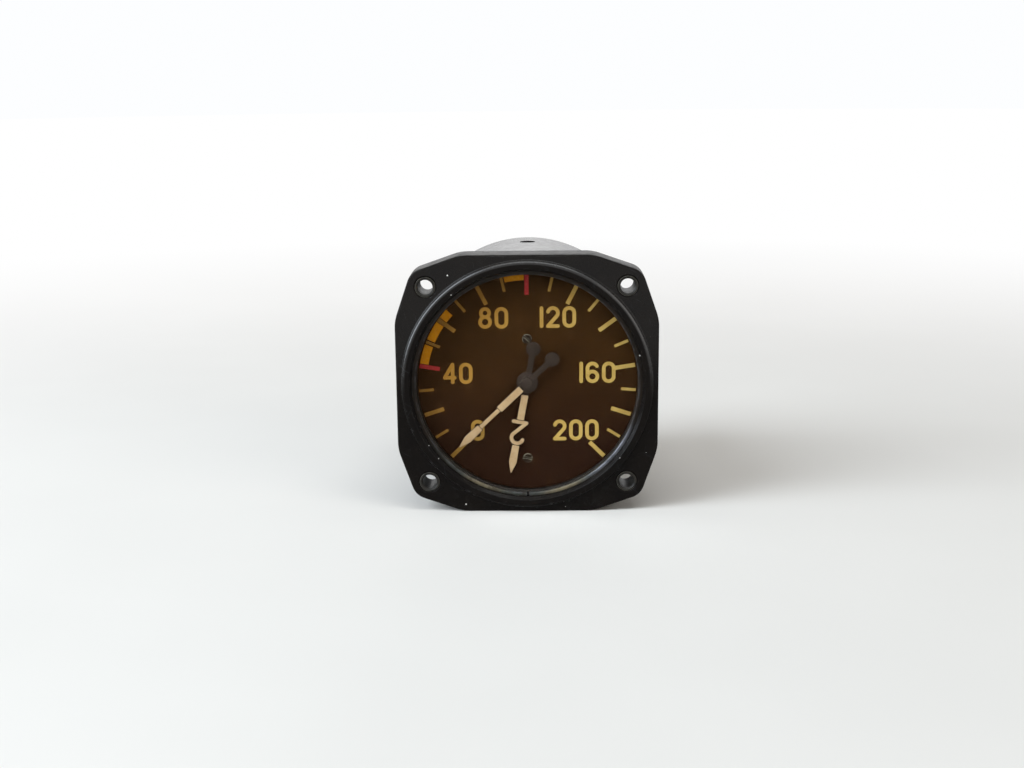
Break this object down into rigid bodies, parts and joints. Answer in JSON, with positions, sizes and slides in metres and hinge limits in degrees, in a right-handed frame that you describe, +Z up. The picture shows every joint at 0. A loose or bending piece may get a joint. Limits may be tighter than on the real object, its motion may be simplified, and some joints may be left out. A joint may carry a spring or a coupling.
{
  "type": "aircraft oil pressure gauge",
  "caption": "Square-flanged round instrument with a glazed dial and coaxial pointers, each driven by its own curved pressure tube, link, toothed sector and pinion.",
  "frame": {"origin": "centre of the flange's front face, on the case axis, in the middle of the four mounting holes", "axes": "+X right as seen from the front, +Y into the panel, +Z up; the dial faces -Y"},
  "size_m": [0.0826, 0.0695, 0.0826],
  "materials": {
    "case_black": "glossy moulded black",
    "bushing_steel": "blackened, worn",
    "ring_olive": "dull olive grey, worn",
    "window_glass": "clear polished",
    "gasket_cork": "matt",
    "dial_brown_black": "aged matt, brownish black",
    "mark_ochre": "aged luminous paint",
    "band_amber": "aged amber paint",
    "limit_red": "aged red paint",
    "small_screw_black": "blackened steel",
    "pointer_black": "satin black",
    "pointer_cream": "aged cream luminous paint",
    "hub_black": "satin black",
    "movement_brass": "brushed",
    "arbor_steel": "turned",
    "tube_bronze": "drawn, slightly toned",
    "spring_bronze": "rolled strip",
    "base_alloy": "dull cast",
    "seal_rubber": "matt",
    "case_screw_black": "blackened steel"
  },
  "bodies": {
    "housing": {"case": "case_black", "flange_bushings": "bushing_steel", "retaining_ring": "ring_olive", "cover_glass": "window_glass", "glass_gasket": "gasket_cork", "dial_plate": "dial_brown_black", "dial_markings": "mark_ochre", "range_bands": "band_amber", "range_limits": "limit_red", "dial_screws": "small_screw_black", "dial_posts": "movement_brass", "front_plate": "movement_brass", "middle_plate": "movement_brass", "back_plate": "movement_brass", "front_pillars": "movement_brass", "middle_pillars": "movement_brass", "rear_pillars": "movement_brass", "plate_screws": "arbor_steel", "hairspring_1": "spring_bronze", "hairspring_2": "spring_bronze", "hairspring_studs": "movement_brass", "pressure_tube_1": "tube_bronze", "pressure_tube_2": "tube_bronze", "socket_1": "movement_brass", "socket_2": "movement_brass", "restrictor_screws": "movement_brass", "rear_base": "base_alloy", "base_seal": "seal_rubber", "base_screws": "arbor_steel", "case_screws": "case_screw_black", "inlet_nuts": "movement_brass"},
    "pointer_1_body": {"pointer_1": "pointer_black", "pointer_1_paint": "pointer_cream", "pointer_1_hub": "hub_black", "arbor_1": "arbor_steel", "hairspring_collet_1": "movement_brass"},
    "sector_1_body": {"sector_1": "movement_brass", "sector_arbor_1": "arbor_steel", "tail_pin_1": "arbor_steel"},
    "link_1_body": {"link_1": "movement_brass"},
    "tip_1_body": {"tube_tip_1": "movement_brass", "tip_pin_1": "arbor_steel"},
    "pointer_2_body": {"pointer_2": "pointer_black", "pointer_2_paint": "pointer_cream", "pointer_2_hub": "hub_black", "arbor_2": "movement_brass", "hairspring_collet_2": "movement_brass"},
    "sector_2_body": {"sector_2": "movement_brass", "sector_arbor_2": "arbor_steel", "tail_pin_2": "arbor_steel"},
    "link_2_body": {"link_2": "movement_brass"},
    "tip_2_body": {"tube_tip_2": "movement_brass", "tip_pin_2": "arbor_steel"}
  },
  "joints": [
    {"name": "tip_1_slide", "type": "slide", "parent": "housing", "child": "tip_1_body", "axis": [-0.0872, 0, 0.9962], "range_m": [-0.00002, 0.00365], "stiffness_N_per_m": 1000, "deforming": ["pressure_tube_1"]},
    {"name": "sector_1_turn", "type": "hinge", "parent": "housing", "child": "sector_1_body", "pos_m": [0.01494, 0.0258, 0.00131], "axis": [0, 1, 0], "range_deg": [-29.85, 0.14]},
    {"name": "link_1_turn", "type": "hinge", "parent": "sector_1_body", "child": "link_1_body", "pos_m": [0.02184, 0.0272, 0.00011], "axis": [0, 1, 0], "range_deg": [-0.14, 29.85]},
    {"name": "pointer_1_turn", "type": "hinge", "parent": "housing", "child": "pointer_1_body", "pos_m": [0, 0.0212, 0], "axis": [0, 1, 0], "range_deg": [-1.25, 268.66], "deforming": ["hairspring_1"]},
    {"name": "tip_2_slide", "type": "slide", "parent": "housing", "child": "tip_2_body", "axis": [-0.9659, 0, 0.2588], "range_m": [0, 0.00413], "stiffness_N_per_m": 1000, "deforming": ["pressure_tube_2"]},
    {"name": "sector_2_turn", "type": "hinge", "parent": "housing", "child": "sector_2_body", "pos_m": [0.00388, 0.0148, 0.01449], "axis": [0, 1, 0], "range_deg": [-33.83, 0]},
    {"name": "link_2_turn", "type": "hinge", "parent": "sector_2_body", "child": "link_2_body", "pos_m": [0.00778, 0.0162, 0.0203], "axis": [0, 1, 0], "range_deg": [0, 33.83]},
    {"name": "pointer_2_turn", "type": "hinge", "parent": "housing", "child": "pointer_2_body", "pos_m": [0, 0.0102, 0], "axis": [0, 1, 0], "range_deg": [0, 304.46], "deforming": ["hairspring_2"]}
  ],
  "couplings": [
    {"joint": "sector_1_turn", "follows": "tip_1_slide", "rad_per_m": -142.86},
    {"joint": "link_1_turn", "follows": "tip_1_slide", "rad_per_m": 142.86},
    {"joint": "pointer_1_turn", "follows": "tip_1_slide", "rad_per_m": 1285.7},
    {"joint": "sector_2_turn", "follows": "tip_2_slide", "rad_per_m": -142.86},
    {"joint": "link_2_turn", "follows": "tip_2_slide", "rad_per_m": 142.86},
    {"joint": "pointer_2_turn", "follows": "tip_2_slide", "rad_per_m": 1285.7}
  ]
}
